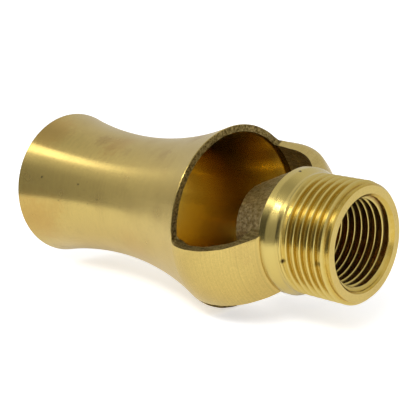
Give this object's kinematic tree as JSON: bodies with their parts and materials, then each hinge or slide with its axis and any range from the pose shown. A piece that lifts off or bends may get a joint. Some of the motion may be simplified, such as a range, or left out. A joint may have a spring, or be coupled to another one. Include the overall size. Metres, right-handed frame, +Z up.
{
  "type": "venturi nozzle",
  "caption": "Open brass venturi nozzle: threaded inlet neck and hub with a screwed jet, side windows between ribs, and a waisted tube with a flared outlet.",
  "frame": {"origin": "centre of the inlet face, on the axis of the neck's threads", "axes": "+X along the axis, out of the inlet towards the supply pipe, so the flow runs towards -X; +Z up as the nozzle lies, with the first window's centre 27.6 degrees from +Z towards -Y"},
  "size_m": [0.0955, 0.0438, 0.043],
  "materials": {
    "body_brass": "turned satin, rough as cast in the windows",
    "jet_brass": "turned bright"
  },
  "bodies": {
    "root": {"body_casting": "body_brass", "jet_insert": "jet_brass"}
  },
  "joints": []
}
